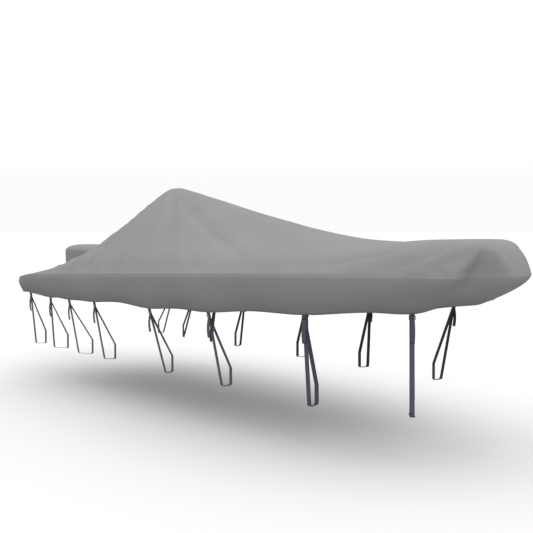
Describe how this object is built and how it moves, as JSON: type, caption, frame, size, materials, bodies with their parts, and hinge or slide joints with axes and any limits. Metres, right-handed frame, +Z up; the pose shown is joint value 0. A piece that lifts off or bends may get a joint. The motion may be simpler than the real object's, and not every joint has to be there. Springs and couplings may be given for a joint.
{
  "type": "boat cover",
  "caption": "Fitted fabric cover for a small open boat with a centre peak, a motor hood at the stern, a tucked skirt and webbing ties with flat buckles along its hem.",
  "frame": {"origin": "holding point just under the cover's peak, on its centre plane, where what it covers holds it up", "axes": "+X towards the bow, +Y to port, +Z up"},
  "size_m": [6.5123, 2.118, 1.7428],
  "materials": {
    "cloth": "matte coated woven polyester, mid grey",
    "webbing": "matte woven polypropylene webbing, navy black",
    "buckle": "satin moulded plastic, black"
  },
  "bodies": {
    "root": {"top": "cloth", "skirt": "cloth", "motor_hood": "cloth", "tab_stern_starboard": "webbing", "tab_one_starboard": "webbing", "tab_two_starboard": "webbing", "tab_three_starboard": "webbing", "tab_four_starboard": "webbing", "tab_five_starboard": "webbing", "tab_six_starboard": "webbing", "tab_seven_starboard": "webbing", "tab_stern_port": "webbing", "tab_one_port": "webbing", "tab_two_port": "webbing", "tab_three_port": "webbing", "tab_four_port": "webbing", "tab_five_port": "webbing", "tab_six_port": "webbing", "tie_stern_starboard": "webbing", "tie_one_starboard": "webbing", "tie_two_starboard": "webbing", "tie_three_starboard": "webbing", "tie_four_starboard": "webbing", "tie_five_starboard": "webbing", "tie_six_starboard": "webbing", "tie_seven_starboard": "webbing", "tie_stern_port": "webbing", "tie_one_port": "webbing", "tie_two_port": "webbing", "tie_three_port": "webbing", "tie_four_port": "webbing", "tie_five_port": "webbing", "tie_six_port": "webbing", "buckle_stern_starboard": "buckle", "buckle_one_starboard": "buckle", "buckle_two_starboard": "buckle", "buckle_three_starboard": "buckle", "buckle_four_starboard": "buckle", "buckle_five_starboard": "buckle", "buckle_six_starboard": "buckle", "buckle_seven_starboard": "buckle", "buckle_stern_port": "buckle", "buckle_one_port": "buckle", "buckle_two_port": "buckle", "buckle_three_port": "buckle", "buckle_four_port": "buckle", "buckle_five_port": "buckle", "buckle_six_port": "buckle"}
  },
  "joints": []
}
